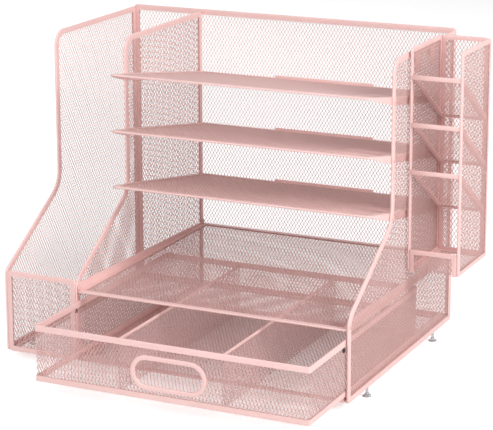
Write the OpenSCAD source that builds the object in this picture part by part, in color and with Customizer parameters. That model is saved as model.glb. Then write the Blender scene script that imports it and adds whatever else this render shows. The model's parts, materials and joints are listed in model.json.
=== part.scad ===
// Desk organiser in pink powder-coated steel mesh: a file holder on the left, three sloping
// letter shelves over a deck, a drawer below and a pen holder hooked on the right panel.
// X runs to the right, Y from the front to the back, Z up. All sizes are in millimetres.
// The working datum is the middle of the left panel at its front bottom corner; placed()
// then moves everything so that the origin is below the middle of the whole object.

/* [Cabinet] */
// Distance between the left and right panels, middle to middle
bay_w = 320; // [290:1:360]
// Depth of the side panels
panel_d = 309; // [280:1:350]
// Height of the side panels
panel_h = 342; // [325:1:400]
// Height of the low front edge of the side panels
front_h = 93; // [91:1:110]
// Depth of the slope from the front edge back to the upright edge
slope_d = 118; // [100:1:140]
// Height at which the slope meets the upright edge
slope_h = 166; // [140:1:170]
// Radius of the bends in the outline of the side panels
bend_r = 18; // [8:1:24]
// Distance between the file holder's outer panel and the left panel, middle to middle
file_w = 89; // [60:1:130]
// Height of the back above the side panels
back_above = 2; // [0:0.5:4]

/* [Sheet metal] */
// Width of the folded strip on the edges of the cabinet's sheets
strip_w = 6.5; // [5.5:0.5:8]
// Thickness of a folded strip, both layers and the sheet between them
strip_t = 2.4; // [2:0.1:2.8]
// Thickness of the mesh sheets
mesh_t = 0.6; // [0.4:0.1:0.8]
// Metal between the edge of a mesh sheet and the outer edge of its folded strip
fold_t = 0.9; // [0.7:0.1:1.2]
// Thickness of the plain plate flanges
flange_t = 1.2; // [1:0.1:1.5]
// Radius of the corners of the straight frames
corner_r = 4; // [2:0.5:6]

/* [Mesh openings] */
// Width of the diamond openings, middle to middle, before they are fitted to their sheet
mesh_pitch = 26; // [24:1:40]
// Height of a diamond over its width
mesh_long = 1.7; // [1.4:0.1:2]
// Size of an opening as a share of its diamond; the rest is metal
mesh_open = 0.75; // [0.5:0.01:0.8]
// The most openings across a sheet
mesh_most = 12; // [8:1:12]
// Plain metal between a strip and the openings
mesh_margin = 1; // [0.5:0.5:3]

/* [File holder] */
// Width of the folded strip round the file holder's front
file_strip_w = 8; // [6:0.5:10]

/* [Shelves] */
// Distance from the top of the panels down to the front edge of the highest shelf
top_shelf_drop = 33; // [20:1:45]
// Height from one shelf to the next
shelf_pitch = 63; // [55:1:66]
// Fall of each shelf from its front edge to its back edge
shelf_fall = 40; // [20:1:45]
// How far the shelves stand out in front of the upright edge
shelf_reach = 47; // [30:1:60]
// How much each front corner of a shelf is drawn in
shelf_taper = 4.5; // [2:0.5:8]
// Height of the flange below each side of a shelf
shelf_flange_h = 6; // [5:0.5:8]
// Height of that flange at its front end
shelf_flange_start = 1; // [0.6:0.2:3]
// Gap between the back edge of a shelf and the back, which its tongue bridges
shelf_back_gap = 0.3; // [0.2:0.1:0.6]
// Width of the tongue at the back of a shelf
tongue_w = 125; // [80:1:160]
// Height of the tongue above the shelf
tongue_h = 2.5; // [1.5:0.5:6]

/* [Deck] */
// Height of the deck's underside, above the drawer
deck_z = 78.4; // [77:0.2:82]
// Height of the deck's side flange above the deck at the front
deck_flange_front = 9; // [6:0.5:9]
// Height of the deck's side flange above the deck at the back
deck_flange_back = 2; // [1:0.5:5]
// Height of the deck's side flange below the deck
deck_flange_low = 4; // [3:0.5:5]

/* [Base] */
// Height of the base sheet's frame above the bottom of the panels
base_z = 1; // [0.5:0.5:2]
// Width of the two runners below the drawer
runner_w = 8; // [6:0.5:12]
// Distance from a panel to the runner beside it
runner_inset = 3; // [2:0.5:8]
// Height of the runners
runner_h = 4; // [3:0.5:5]

/* [Drawer] */
// Height of the drawer
drawer_h = 62; // [50:1:64]
// Depth of the drawer
drawer_d = 300; // [260:1:305]
// How far the drawer stands open
drawer_out = 92; // [0:1:200]
// Gap between the drawer and each panel
drawer_gap = 0.9; // [0.7:0.1:2]
// Gap between the drawer and its runners
runner_gap = 0.2; // [0.1:0.1:0.5]
// Width of the outer compartments of the drawer
side_compartment_w = 98; // [80:1:110]
// How far the dividers end below the top of the drawer
divider_drop = 2; // [1:0.5:20]
// Height of the folded edge on top of a divider
divider_edge_h = 3; // [2:0.5:5]
// Thickness of the folded edge on top of a divider
divider_edge_t = 1.6; // [1.2:0.1:2.4]

/* [Finger hole] */
// Width of the ring round the finger hole, over all
ring_w = 88; // [70:1:120]
// Height of the ring, over all
ring_h = 38; // [30:1:44]
// Width of the ring's band
ring_band = 5.3; // [4:0.1:7]
// Thickness of the ring
ring_t = 3.2; // [2.6:0.1:4]
// Height of the middle of the ring above the drawer's underside
ring_z = 29; // [26:0.5:34]

/* [Drawer glides] */
// Diameter of the glide button on each side of the drawer
glide_dia = 5; // [3:0.5:7]
// How far a glide button stands out past the drawer's side strip
glide_proud = 0.4; // [0.2:0.1:0.5]
// Distance of the glide buttons behind the drawer's front
glide_back = 88; // [60:1:150]
// Distance from the drawer's top down to the middle of a glide button
glide_drop = 10; // [10:0.5:16]

/* [Pen holder] */
// Width of the pen holder
pen_w = 59; // [45:1:80]
// Depth of the pen holder
pen_d = 93; // [80:1:120]
// Height of the pen holder
pen_h = 247; // [225:1:270]
// Distance of the pen holder's front behind the panels' front edge
pen_y = 160; // [150:1:180]
// Height of the pen holder's top above the top of the panels
pen_above = 5; // [3:0.5:8]
// Gap between the right panel and the pen holder
pen_gap = 1.8; // [1.6:0.1:3]
// Width of the folded strips of the pen holder
pen_strip_w = 5; // [4:0.5:7]
// Depth from the pen holder's top to the front lip of its highest shelf
pen_lip_drop = 29; // [20:1:32]
// Height between the lips of the pen holder's shelves
pen_pitch = 52; // [45:1:56]
// Fall of a pen shelf from front to back
pen_fall = 62; // [50:1:72]
// Height of the front lip of a pen shelf
pen_lip_h = 5; // [4:0.5:8]
// Height of the side flanges of a pen shelf
pen_flange_h = 6; // [4:0.5:8]
// Height of the basket front at the bottom of the pen holder
basket_h = 25; // [20:1:32]

/* [Hooks] */
// Width of a hook strap
hook_w = 12; // [8:1:20]
// Depth of a hook inside the panel
hook_drop = 14; // [8:1:20]
// Length of a hook strap down the pen holder's wall
hook_back_l = 24; // [16:1:40]
// Distance of each hook from the end of the pen holder
hook_inset = 18; // [12:1:25]
// Gap between a hook and the panel's strip
hook_gap = 0.2; // [0.1:0.1:0.4]

/* [Screws] */
// Diameter of the screw heads
screw_head_dia = 4.6; // [4:0.2:5]
// Height of the screw heads
screw_head_h = 1; // [0.8:0.1:1.6]
// Diameter of the screws
screw_dia = 2.4; // [2:0.1:2.6]
// Radial gap between a screw and its hole
screw_gap = 0.1; // [0.05:0.05:0.2]
// Height of the deck's screws above the deck's underside
deck_screw_up = 5; // [4:0.5:7]

/* [Feet] */
// Height of the feet
foot_h = 9; // [6:0.5:14]
// Diameter of a foot where it meets the table
foot_dia = 10; // [8:0.5:14]
// Diameter of a foot's stem
foot_stem_dia = 3; // [2.4:0.2:5]
// Height of the flat disc at the bottom of a foot
foot_disc_h = 1; // [0.8:0.1:2]
// Height at which a foot's cone meets its stem
foot_cone_h = 5.4; // [3:0.2:5.8]
// Distance of the feet from the front and back of the panels
foot_inset = 55; // [20:1:80]

/* [Hidden] */

$fn = 48;
arc_steps = 6;
rim_pink = "#f4c6c4";
mesh_pink = "#e9b3b1";
clear_tint = "#e8eef0";
black_nylon = "#26262a";
// extra length on cutters, so that no cut ends flush with a face
over = 1;
// the least radius that an inset leaves at a rounded corner
least_r = 0.05;

half_t = strip_t / 2;
bay_left = half_t;
bay_right = bay_w - half_t;
back_y = panel_d + strip_t;

// shelves: they lean back from shelf_y to the back sheet
shelf_y = slope_d - shelf_reach;
shelf_run = panel_d - shelf_y;
shelf_tilt = asin(shelf_fall / norm([shelf_run, shelf_fall]));
shelf_l = (shelf_run - shelf_back_gap - strip_t * sin(shelf_tilt)) / cos(shelf_tilt);
shelf_levels = [for (i = [2, 1, 0]) panel_h - top_shelf_drop - i * shelf_pitch];

// drawer
drawer_left = bay_left + drawer_gap;
drawer_w = bay_w - 2 * drawer_left;
drawer_z = base_z + strip_t + runner_h + runner_gap;
drawer_y = -drawer_out;
wall_in = (strip_t - mesh_t) / 2;

// pen holder
pen_x = bay_w + half_t + pen_gap;
pen_top = panel_h + pen_above;
pen_bottom = pen_top - pen_h;
pen_inside_w = pen_w - 2 * strip_t;
pen_run = pen_d - strip_t;
pen_tilt = atan2(pen_fall, pen_run);
pen_shelf_l = (pen_run - strip_t * sin(pen_tilt)) / cos(pen_tilt);
pen_lips = [for (i = [2, 1, 0]) pen_top - pen_lip_drop - i * pen_pitch];

// screws, in the middle of the panels' upright strips
front_strip_y = strip_w / 2;
upright_strip_y = slope_d + strip_w / 2;
back_strip_y = panel_d - strip_w / 2;

// the whole object's extent, from which the origin is set
min_x = -file_w - max(half_t, foot_dia / 2);
max_x = pen_x + pen_w;
min_y = min(drawer_y - (ring_t - strip_t) / 2, 0);
middle_x = (min_x + max_x) / 2;
middle_y = (min_y + back_y) / 2;

// ---- outlines ----

function unit(v) = v / norm(v);
function left_of(v) = [-v[1], v[0]];
function turn(a, p, c) = (p - a)[0] * (c - p)[1] - (p - a)[1] * (c - p)[0];
function at(path, i) = path[(i + len(path)) % len(path)];

// the outline moved inwards by d; outlines run anticlockwise
function inset(path, d) = [for (i = [0 : len(path) - 1])
    let (n1 = left_of(unit(path[i] - at(path, i - 1))),
         n2 = left_of(unit(at(path, i + 1) - path[i])))
    path[i] + d * (n1 + n2) / (1 + n1 * n2)];

// radii of the same outline after it has moved inwards by d; a sharp corner, of radius 0,
// stays sharp
function inset_radii(path, radii, d) = [for (i = [0 : len(path) - 1]) radii[i] == 0 ? 0 :
    max(least_r, radii[i] - d * sign(turn(at(path, i - 1), path[i], at(path, i + 1))))];

// points of one rounded corner
function corner(a, p, c, r) = r == 0 ? [p] :
    let (u = unit(a - p), v = unit(c - p),
         half = acos(u * v) / 2,
         middle = p + unit(u + v) * r / sin(half),
         first = p + u * r / tan(half) - middle,
         start = atan2(first[1], first[0]),
         sweep = sign(turn(a, p, c)) * (180 - 2 * half))
    [for (k = [0 : arc_steps]) middle
        + r * [cos(start + sweep * k / arc_steps), sin(start + sweep * k / arc_steps)]];

function rounded(path, radii) = [for (i = [0 : len(path) - 1])
    each corner(at(path, i - 1), path[i], at(path, i + 1), radii[i])];

function rectangle(w, h) = [[0, 0], [w, 0], [w, h], [0, h]];
function same_radii(path, r) = [for (p = path) r];

// side panel, seen from the right: Y to the right and Z up
panel_path = [[0, 0], [panel_d, 0], [panel_d, panel_h], [slope_d, panel_h],
    [slope_d, slope_h], [0, front_h]];
panel_radii = [corner_r, corner_r, corner_r, bend_r, bend_r * 1.5, bend_r * 1.5];

// shelf, seen from above: its front edge is at Y = 0, and it is full width from the panels'
// upright edge to the back
shelf_full_y = shelf_reach / cos(shelf_tilt);
shelf_front_r = 2 * corner_r;
shelf_path = [[bay_left + shelf_taper, 0], [bay_right - shelf_taper, 0],
    [bay_right, shelf_full_y], [bay_right, shelf_l],
    [bay_left, shelf_l], [bay_left, shelf_full_y]];
shelf_radii = [shelf_front_r, shelf_front_r, 0, 0, 0, 0];

// ---- openings of the mesh sheets ----
// The real sheets are expanded steel with diamonds of 4.2 by 7.2 mm. These are the same diamonds
// drawn larger, with the same share of metal; alternate rows are half a diamond aside.

function diamond(middle, half) = [middle + [half[0], 0], middle + [0, half[1]],
    middle - [half[0], 0], middle - [0, half[1]]];

// whole diamonds that fill a field of the sheet from its low corner
function diamonds(low, field) =
    let (across = min(mesh_most, max(1, round(field[0] / mesh_pitch))),
         up = max(2, round(field[1] / (field[0] / across * mesh_long))),
         step = [field[0] / across, field[1] / up] / 2)
    [for (i = [1 : 2 * across - 1], j = [1 : 2 * up - 1]) if ((i + j) % 2 == 0)
        diamond(low + [i * step[0], j * step[1]], step * mesh_open)];

// diamonds inside a strip of width w round a rectangle
function framed_diamonds(size, w) =
    diamonds([w + mesh_margin, w + mesh_margin], size - 2 * [w + mesh_margin, w + mesh_margin]);

// flat plate with an outline and four-cornered openings
module pierced(outline, openings, t) {
    n = len(outline);
    linear_extrude(t) polygon(concat(outline, [for (o = openings) each o]),
        concat([[for (i = [0 : n - 1]) i]],
            [for (k = [0 : len(openings) - 1]) [for (i = [0 : 3]) n + 4 * k + i]]));
}

// ---- sheets and their folded strips, drawn flat ----

module filled(path, radii, d, t) {
    linear_extrude(t) polygon(rounded(inset(path, d), inset_radii(path, radii, d)));
}

// room for a mesh sheet, which ends inside its folded strip
module sheet(path, radii) {
    translate([0, 0, (strip_t - mesh_t) / 2]) filled(path, radii, fold_t, mesh_t);
}

// the mesh sheet itself
module mesh(path, radii, openings) {
    translate([0, 0, (strip_t - mesh_t) / 2])
        pierced(rounded(inset(path, fold_t), inset_radii(path, radii, fold_t)), openings, mesh_t);
}

// strip folded over the sheet's edge all round
module strip(path, radii, w) {
    difference() {
        filled(path, radii, 0, strip_t);
        translate([0, 0, -over]) filled(path, radii, w, strip_t + 2 * over);
        sheet(path, radii);
    }
}

module strip_frame(w, h, band) {
    path = rectangle(w, h);
    strip(path, same_radii(path, corner_r), band);
}

module sheet_frame(w, h) {
    path = rectangle(w, h);
    sheet(path, same_radii(path, corner_r));
}

module mesh_frame(w, h, band) {
    path = rectangle(w, h);
    mesh(path, same_radii(path, corner_r), framed_diamonds([w, h], band));
}

// flat work stood up across the object (X to the right) or along it (Y to the right)
module stand_across(y) { translate([0, y + strip_t, 0]) rotate([90, 0, 0]) children(); }
module stand_along(x) { translate([x, 0, 0]) rotate([90, 0, 90]) children(); }

// plate outline in Y and Z, given a thickness along X
module plate_along(x, t, path) { stand_along(x) linear_extrude(t) polygon(path); }

module placed() { translate([-middle_x, -middle_y, foot_h]) children(); }

// ---- screws ----

// places on one panel: [y, z] of each screw, at the middle of the upright strips and, for a
// shelf, at the middle of the flange below its strip
function shelf_z(level, y) = level - (y - shelf_y) * tan(shelf_tilt);
function shelf_screw(level, y) =
    [y, shelf_z(level, y) - (strip_t + shelf_flange_h / 2) / cos(shelf_tilt)];
screw_places = concat(
    [for (y = [front_strip_y, back_strip_y]) [y, deck_z + deck_screw_up]],
    [for (level = shelf_levels, y = [upright_strip_y, back_strip_y]) shelf_screw(level, y)]);
screw_l = strip_t + flange_t;

module along_x() { rotate([0, 90, 0]) children(); }

// one screw, head to the right, with the head's underside at X = 0
module screw() {
    along_x() cylinder(d = screw_head_dia, h = screw_head_h);
    translate([-screw_l, 0, 0]) along_x() cylinder(d = screw_dia, h = screw_l + screw_head_h / 2);
}

// the left panel's screws have their heads on the flange, the right panel's on the panel
screw_seats = [bay_left + flange_t, bay_w + half_t];

module panel_screws() {
    color(rim_pink) placed() for (x = screw_seats, p = screw_places)
        translate([x, p[0], p[1]]) screw();
}

module screw_holes() {
    for (x = screw_seats, p = screw_places)
        translate([x - screw_l - over, p[0], p[1]]) along_x()
            cylinder(d = screw_dia + 2 * screw_gap, h = screw_l + 2 * over);
}

// ---- side panels ----

module panel_rim(x) {
    color(rim_pink) placed() difference() {
        stand_along(x - half_t) strip(panel_path, panel_radii, strip_w);
        screw_holes();
    }
}

// a panel's openings stay below its slope and behind its upright edge
panel_edge = strip_w + mesh_margin;
function in_panel(p) = p[0] > slope_d + panel_edge
    || p[1] < front_h + ((slope_h - front_h) * p[0] - panel_edge * norm([slope_d, slope_h - front_h]))
        / slope_d;
panel_openings = [for (o = framed_diamonds([panel_d, panel_h], strip_w))
    if (in_panel(o[0]) && in_panel(o[1]) && in_panel(o[2]) && in_panel(o[3])) o];

module panel_mesh(x) {
    color(mesh_pink) placed() difference() {
        stand_along(x - half_t) mesh(panel_path, panel_radii, panel_openings);
        screw_holes();
    }
}

module file_side_rim() { panel_rim(-file_w); }
module file_side_mesh() { panel_mesh(-file_w); }
module left_panel_rim() { panel_rim(0); }
module left_panel_mesh() { panel_mesh(0); }
module right_panel_rim() { panel_rim(bay_w); }
module right_panel_mesh() { panel_mesh(bay_w); }

// ---- back ----

back_w = file_w + bay_w + strip_t;
back_h = panel_h + back_above;

module at_back() {
    placed() translate([-file_w - half_t, 0, 0]) stand_across(panel_d) children();
}
module back_rim() { color(rim_pink) at_back() strip_frame(back_w, back_h, strip_w); }
module back_mesh() { color(mesh_pink) at_back() mesh_frame(back_w, back_h, strip_w); }

// ---- file holder ----

file_inside_w = file_w - strip_t;
file_left = -file_w + half_t;

module at_file_front() { placed() translate([file_left, 0, 0]) stand_across(0) children(); }
module file_front_rim() {
    color(rim_pink) at_file_front() strip_frame(file_inside_w, front_h, file_strip_w);
}
module file_front_mesh() {
    color(mesh_pink) at_file_front() mesh_frame(file_inside_w, front_h, file_strip_w);
}

module at_file_floor() { placed() translate([file_left, strip_t, base_z]) children(); }
module file_floor_rim() {
    color(rim_pink) at_file_floor() strip_frame(file_inside_w, panel_d - strip_t, strip_w);
}
module file_floor_mesh() {
    color(mesh_pink) at_file_floor() mesh_frame(file_inside_w, panel_d - strip_t, strip_w);
}

// ---- base and runners ----

bay_inside_w = bay_right - bay_left;

module at_base() { placed() translate([bay_left, 0, base_z]) children(); }
module base_rim() { color(rim_pink) at_base() strip_frame(bay_inside_w, panel_d, strip_w); }
module base_mesh() {
    color(mesh_pink) at_base() mesh_frame(bay_inside_w, panel_d, strip_w);
}

module drawer_runners() {
    color(rim_pink) placed()
        for (x = [bay_left + runner_inset, bay_right - runner_inset - runner_w])
            translate([x, 0, base_z + strip_t]) cube([runner_w, panel_d, runner_h]);
}

// ---- deck ----

deck_flange_path = [[corner_r, deck_z - deck_flange_low], [panel_d, deck_z - deck_flange_low],
    [panel_d, deck_z + strip_t + deck_flange_back],
    [corner_r, deck_z + strip_t + deck_flange_front]];

module at_deck() { translate([bay_left, 0, deck_z]) children(); }

module deck_rim() {
    color(rim_pink) placed() difference() {
        union() {
            at_deck() strip_frame(bay_inside_w, panel_d, strip_w);
            for (x = [bay_left, bay_right - flange_t])
                plate_along(x, flange_t, deck_flange_path);
        }
        at_deck() sheet_frame(bay_inside_w, panel_d);
        screw_holes();
    }
}

module deck_mesh() {
    color(mesh_pink) placed() at_deck() mesh_frame(bay_inside_w, panel_d, strip_w);
}

// ---- shelves ----

module at_shelf(level) {
    translate([0, shelf_y, level - strip_t]) rotate([-shelf_tilt, 0, 0]) children();
}

// flange below the left side of a shelf: full height along the panel, and lower towards its
// front end, where it follows the drawn-in edge
flange_start_y = shelf_front_r;
flange_start_x = bay_left + shelf_taper * (1 - flange_start_y / shelf_full_y);

module shelf_flange() {
    edge = [[flange_start_x, flange_start_y], [bay_left, shelf_full_y], [bay_left, shelf_l]];
    inner = [for (i = [2, 1, 0]) edge[i] + [flange_t, 0]];
    difference() {
        translate([0, 0, -shelf_flange_h]) linear_extrude(shelf_flange_h + strip_t / 2)
            polygon(concat(inner, edge));
        plate_along(0, bay_w / 2, [[flange_start_y - over, -shelf_flange_h - over],
            [shelf_full_y, -shelf_flange_h - over], [shelf_full_y, -shelf_flange_h],
            [flange_start_y, -shelf_flange_start], [flange_start_y - over, -shelf_flange_start]]);
    }
}

module shelf_rim(level) {
    back_z = shelf_z(level, panel_d) - strip_t;
    color(rim_pink) placed() difference() {
        union() {
            at_shelf(level) {
                strip(shelf_path, shelf_radii, strip_w);
                shelf_flange();
                translate([bay_w, 0, 0]) mirror([1, 0, 0]) shelf_flange();
            }
            translate([(bay_w - tongue_w) / 2, panel_d - flange_t, back_z])
                cube([tongue_w, flange_t, strip_t + tongue_h]);
        }
        at_shelf(level) sheet(shelf_path, shelf_radii);
        screw_holes();
    }
}

shelf_openings = diamonds([bay_left + strip_w + mesh_margin, strip_w + mesh_margin],
    [bay_right - bay_left, shelf_l] - 2 * [strip_w + mesh_margin, strip_w + mesh_margin]);

module shelf_mesh(level) {
    color(mesh_pink) placed() at_shelf(level) mesh(shelf_path, shelf_radii, shelf_openings);
}

module lower_shelf_rim() { shelf_rim(shelf_levels[0]); }
module lower_shelf_mesh() { shelf_mesh(shelf_levels[0]); }
module middle_shelf_rim() { shelf_rim(shelf_levels[1]); }
module middle_shelf_mesh() { shelf_mesh(shelf_levels[1]); }
module upper_shelf_rim() { shelf_rim(shelf_levels[2]); }
module upper_shelf_mesh() { shelf_mesh(shelf_levels[2]); }

// ---- feet ----

module foot() {
    rotate_extrude() polygon([[0, 0], [foot_dia / 2, 0], [foot_dia / 2, foot_disc_h],
        [foot_stem_dia / 2, foot_cone_h], [foot_stem_dia / 2, foot_h], [0, foot_h]]);
}

module feet() {
    color(clear_tint) placed()
        for (x = [-file_w, 0, bay_w], y = [foot_inset, panel_d - foot_inset])
            translate([x, y, -foot_h]) foot();
}

// ---- drawer ----

drawer_path = rectangle(drawer_w, drawer_d);
drawer_radii = same_radii(drawer_path, corner_r / 2);

module at_drawer() { placed() translate([drawer_left, drawer_y, drawer_z]) children(); }

// the four mesh walls as one hollow box, from which each wall and its grooves are taken
wall_z = fold_t;
wall_h = drawer_h - 2 * fold_t;

module across_wall(y) {
    translate([wall_in, y, wall_z]) cube([drawer_w - 2 * wall_in, mesh_t, wall_h]);
}
module along_wall(x) {
    translate([x, wall_in + mesh_t, wall_z])
        cube([mesh_t, drawer_d - 2 * (wall_in + mesh_t), wall_h]);
}
module front_wall() { across_wall(wall_in); }
module back_wall() { across_wall(drawer_d - wall_in - mesh_t); }
module left_wall() { along_wall(wall_in); }
module right_wall() { along_wall(drawer_w - wall_in - mesh_t); }
module walls() { front_wall(); back_wall(); left_wall(); right_wall(); }

module wall_strip(z) {
    difference() {
        translate([0, 0, z]) filled(drawer_path, drawer_radii, 0, strip_w);
        translate([0, 0, z - over])
            filled(drawer_path, drawer_radii, strip_t, strip_w + 2 * over);
        walls();
    }
}

module drawer_top_rim() { color(rim_pink) at_drawer() wall_strip(drawer_h - strip_w); }
module drawer_bottom_rim() { color(rim_pink) at_drawer() wall_strip(0); }

// upright stadium, centred, in X and Z, through the drawer's front
module stadium(grow, depth) {
    r = ring_h / 2 + grow;
    reach = ring_w / 2 - ring_h / 2;
    translate([drawer_w / 2, strip_t / 2 + depth / 2, ring_z]) rotate([90, 0, 0])
        linear_extrude(depth) {
            square([2 * reach, 2 * r], center = true);
            for (x = [-reach, reach]) translate([x, 0]) circle(r);
        }
}

// a drawer wall's mesh of length l, drawn flat, with plain metal where its strips hold it
function wall_openings(l) = diamonds([strip_w, strip_w - wall_z] + [mesh_margin, mesh_margin],
    [l - 2 * (strip_w + mesh_margin), drawer_h - 2 * (strip_w + mesh_margin)]);
module wall_mesh(l, openings) { pierced(rectangle(l, wall_h), openings, mesh_t); }

// the front's openings stay clear of the ring
ring_reach = (ring_w - ring_h) / 2;
function clear_of_ring(p) =
    norm([max(0, abs(p[0] + wall_in - drawer_w / 2) - ring_reach), p[1] + wall_z - ring_z])
        > ring_h / 2 + mesh_margin;
front_openings = [for (o = wall_openings(drawer_w - 2 * wall_in))
    if (clear_of_ring(o[0]) && clear_of_ring(o[1]) && clear_of_ring(o[2]) && clear_of_ring(o[3]))
        o];

module across_mesh(y, openings) {
    translate([wall_in, y + mesh_t, wall_z]) rotate([90, 0, 0])
        wall_mesh(drawer_w - 2 * wall_in, openings);
}
module along_mesh(x) {
    l = drawer_d - 2 * (wall_in + mesh_t);
    translate([0, wall_in + mesh_t, wall_z]) stand_along(x) wall_mesh(l, wall_openings(l));
}

module drawer_front_mesh() {
    color(mesh_pink) at_drawer() difference() {
        across_mesh(wall_in, front_openings);
        stadium(fold_t - ring_band, strip_t + 2 * over);
    }
}

module finger_ring() {
    color(rim_pink) at_drawer() difference() {
        stadium(0, ring_t);
        stadium(-ring_band, ring_t + 2 * over);
        difference() {
            front_wall();
            stadium(fold_t - ring_band, strip_t + 2 * over);
        }
    }
}

module drawer_back_mesh() {
    color(mesh_pink) at_drawer()
        across_mesh(drawer_d - wall_in - mesh_t, wall_openings(drawer_w - 2 * wall_in));
}
module drawer_left_mesh() { color(mesh_pink) at_drawer() along_mesh(wall_in); }
module drawer_right_mesh() {
    color(mesh_pink) at_drawer() along_mesh(drawer_w - wall_in - mesh_t);
}

// the floor has a field of openings in each compartment, and plain metal below the dividers
module drawer_floor_mesh() {
    size = [drawer_w, drawer_d] - 2 * [strip_t, strip_t];
    walls = [0, each divider_places - [strip_t, strip_t], size[0]];
    openings = [for (i = [0 : 2])
        each diamonds([walls[i] + mesh_margin, mesh_margin],
            [walls[i + 1] - walls[i] - 2 * mesh_margin, size[1] - 2 * mesh_margin])];
    color(mesh_pink) at_drawer() translate([strip_t, strip_t, fold_t])
        pierced(rectangle(size[0], size[1]), openings, mesh_t);
}

// dividers stand on the floor sheet between the front and back walls
divider_top = drawer_h - divider_drop;
divider_foot = fold_t + mesh_t;
divider_inset = strip_t;
divider_l = drawer_d - 2 * divider_inset;
divider_places = [side_compartment_w, drawer_w - side_compartment_w];

module divider_edge(x) {
    color(rim_pink) at_drawer() difference() {
        translate([x - divider_edge_t / 2, divider_inset, divider_top - divider_edge_h])
            cube([divider_edge_t, divider_l, divider_edge_h]);
        divider_sheet(x);
    }
}

module divider_sheet(x) {
    translate([x - mesh_t / 2, divider_inset, divider_foot])
        cube([mesh_t, divider_l, divider_top - fold_t - divider_foot]);
}

module divider_mesh(x) {
    size = [divider_l, divider_top - fold_t - divider_foot];
    field = size - [2 * mesh_margin, mesh_margin + divider_edge_h];
    color(mesh_pink) at_drawer() translate([0, divider_inset, divider_foot])
        stand_along(x - mesh_t / 2) pierced(rectangle(size[0], size[1]),
            diamonds([mesh_margin, mesh_margin], field), mesh_t);
}

module left_divider_edge() { divider_edge(divider_places[0]); }
module left_divider_mesh() { divider_mesh(divider_places[0]); }
module right_divider_edge() { divider_edge(divider_places[1]); }
module right_divider_mesh() { divider_mesh(divider_places[1]); }

module drawer_glides() {
    glide_t = wall_in + glide_proud;
    color(black_nylon) at_drawer()
        for (x = [-glide_proud, drawer_w + glide_proud - glide_t])
            translate([x, glide_back, drawer_h - glide_drop]) along_x()
                cylinder(d = glide_dia, h = glide_t);
}

// ---- pen holder ----

module at_pen() { placed() translate([pen_x, pen_y, pen_bottom]) children(); }

module pen_wall_rim(x) {
    color(rim_pink) at_pen() stand_along(x) strip_frame(pen_d, pen_h, pen_strip_w);
}
module pen_wall_mesh(x) {
    color(mesh_pink) at_pen() stand_along(x) mesh_frame(pen_d, pen_h, pen_strip_w);
}
module pen_inner_rim() { pen_wall_rim(0); }
module pen_inner_mesh() { pen_wall_mesh(0); }
module pen_outer_rim() { pen_wall_rim(pen_w - strip_t); }
module pen_outer_mesh() { pen_wall_mesh(pen_w - strip_t); }

module at_pen_back() {
    at_pen() translate([strip_t, 0, 0]) stand_across(pen_d - strip_t) children();
}
module pen_back_rim() {
    color(rim_pink) at_pen_back() strip_frame(pen_inside_w, pen_h, pen_strip_w);
}
module pen_back_mesh() {
    color(mesh_pink) at_pen_back() mesh_frame(pen_inside_w, pen_h, pen_strip_w);
}

// the basket's front and floor are one bent sheet, with strips on all edges but the bend
module basket_sheet() {
    sheet_w = pen_inside_w - 2 * fold_t;
    translate([fold_t, wall_in, wall_in]) {
        cube([sheet_w, mesh_t, basket_h - fold_t - wall_in]);
        cube([sheet_w, pen_d - strip_t - fold_t - wall_in, mesh_t]);
    }
}

module at_basket() { at_pen() translate([strip_t, 0, 0]) children(); }

module pen_basket_rim() {
    color(rim_pink) at_basket() difference() {
        cube([pen_inside_w, strip_t, basket_h]);
        translate([pen_strip_w, -over, -over])
            cube([pen_inside_w - 2 * pen_strip_w, strip_t + 2 * over,
                basket_h - pen_strip_w + over]);
        basket_sheet();
    }
}

module pen_floor_rim() {
    floor_d = pen_d - 2 * strip_t;
    color(rim_pink) at_basket() difference() {
        translate([0, strip_t, 0]) cube([pen_inside_w, floor_d, strip_t]);
        translate([pen_strip_w, 0, -over])
            cube([pen_inside_w - 2 * pen_strip_w, strip_t + floor_d - pen_strip_w,
                strip_t + 2 * over]);
        basket_sheet();
    }
}

module pen_basket_mesh() {
    sheet_w = pen_inside_w - 2 * fold_t;
    sheet_h = basket_h - fold_t - wall_in;
    floor_d = pen_d - strip_t - fold_t - wall_in;
    edge = pen_strip_w - fold_t + mesh_margin;
    color(mesh_pink) at_basket() translate([fold_t, wall_in, wall_in]) {
        translate([0, mesh_t, 0]) rotate([90, 0, 0]) pierced(rectangle(sheet_w, sheet_h),
            diamonds([edge, mesh_t], [sheet_w - 2 * edge, sheet_h - edge - mesh_t]), mesh_t);
        pierced(rectangle(sheet_w, floor_d),
            diamonds([edge, mesh_t], [sheet_w - 2 * edge, floor_d - edge - mesh_t]), mesh_t);
    }
}

// pen shelves fall from their front lip to the back wall, between the side walls
module at_pen_shelf(lip_z) {
    at_pen() translate([strip_t, 0, lip_z - pen_bottom - strip_t]) rotate([-pen_tilt, 0, 0])
        children();
}

// flange that stands on one side of a pen shelf, square at the front and upright at the back
pen_flange_back = pen_shelf_l - pen_flange_h * tan(pen_tilt);
pen_flange_path = [[pen_strip_w, 0], [pen_flange_back, 0], [pen_flange_back, pen_flange_h],
    [pen_strip_w, pen_flange_h]];

module pen_shelf_rim(lip_z) {
    color(rim_pink) difference() {
        union() {
            at_pen_shelf(lip_z) {
                strip_frame(pen_inside_w, pen_shelf_l, pen_strip_w);
                for (x = [0, pen_inside_w - flange_t])
                    plate_along(x, flange_t, pen_flange_path);
            }
            at_pen() translate([strip_t, 0, lip_z - pen_bottom - pen_lip_h])
                cube([pen_inside_w, flange_t, pen_lip_h]);
        }
        at_pen_shelf(lip_z) sheet_frame(pen_inside_w, pen_shelf_l);
    }
}

module pen_shelf_mesh(lip_z) {
    color(mesh_pink) at_pen_shelf(lip_z) mesh_frame(pen_inside_w, pen_shelf_l, pen_strip_w);
}

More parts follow.
